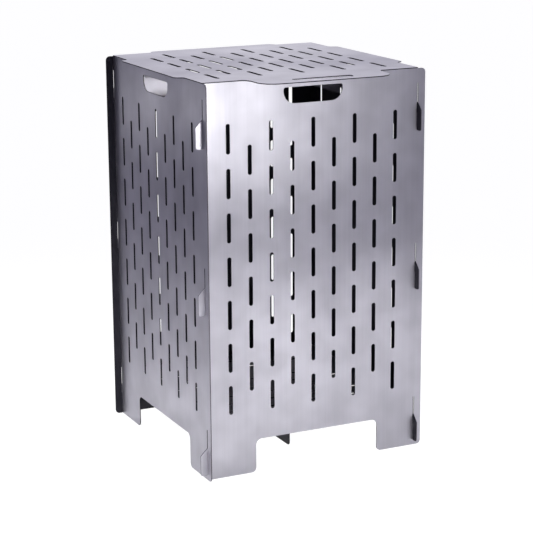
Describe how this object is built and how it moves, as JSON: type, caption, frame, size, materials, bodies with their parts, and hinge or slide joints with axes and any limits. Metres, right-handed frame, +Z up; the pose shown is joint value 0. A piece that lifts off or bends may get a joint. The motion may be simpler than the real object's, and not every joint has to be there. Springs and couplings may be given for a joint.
{
  "type": "chimney charcoal starter",
  "caption": "Tall square flat-pack fire basket of slotted sheet-steel panels hooked together at the corners, with hand holes, a slotted lid with a handle tab and a raised grate.",
  "frame": {"origin": "on the ground, under the centre of the bounding box, which is 23.75 mm in front of the cage's own axis because the lid's handle reaches further forward than the rear tab reaches back", "axes": "+Z up, out of the open top; -Y out of the front panel, the side of the lid's handle; +X to the right as seen from the front"},
  "size_m": [0.407, 0.4544, 0.6415],
  "materials": {
    "panel_steel": "cold-rolled stainless sheet with fine vertical brushing, laser-cut edges",
    "lid_steel": "cold-rolled stainless sheet with fine brushing, laser-cut edges",
    "grate_steel": "stainless sheet, slightly duller than the panels"
  },
  "bodies": {
    "cage": {"front_panel": "panel_steel", "right_panel": "panel_steel", "back_panel": "panel_steel", "left_panel": "panel_steel"},
    "lid_body": {"lid": "lid_steel"},
    "lower_plate_body": {"lower_cross_plate": "grate_steel"},
    "upper_plate_body": {"upper_cross_plate": "grate_steel"},
    "grate_body": {"fire_grate": "grate_steel"}
  },
  "joints": [
    {"name": "lid_lift", "type": "slide", "parent": "cage", "child": "lid_body", "axis": [0, 0, 1], "range_m": [0, 0.2]},
    {"name": "lower_plate_lift", "type": "slide", "parent": "cage", "child": "lower_plate_body", "axis": [0, 0, 1], "range_m": [0, 0.15]},
    {"name": "upper_plate_lift", "type": "slide", "parent": "lower_plate_body", "child": "upper_plate_body", "axis": [0, 0, 1], "range_m": [0, 0.1]},
    {"name": "grate_lift", "type": "slide", "parent": "upper_plate_body", "child": "grate_body", "axis": [0, 0, 1], "range_m": [0, 0.28]}
  ]
}
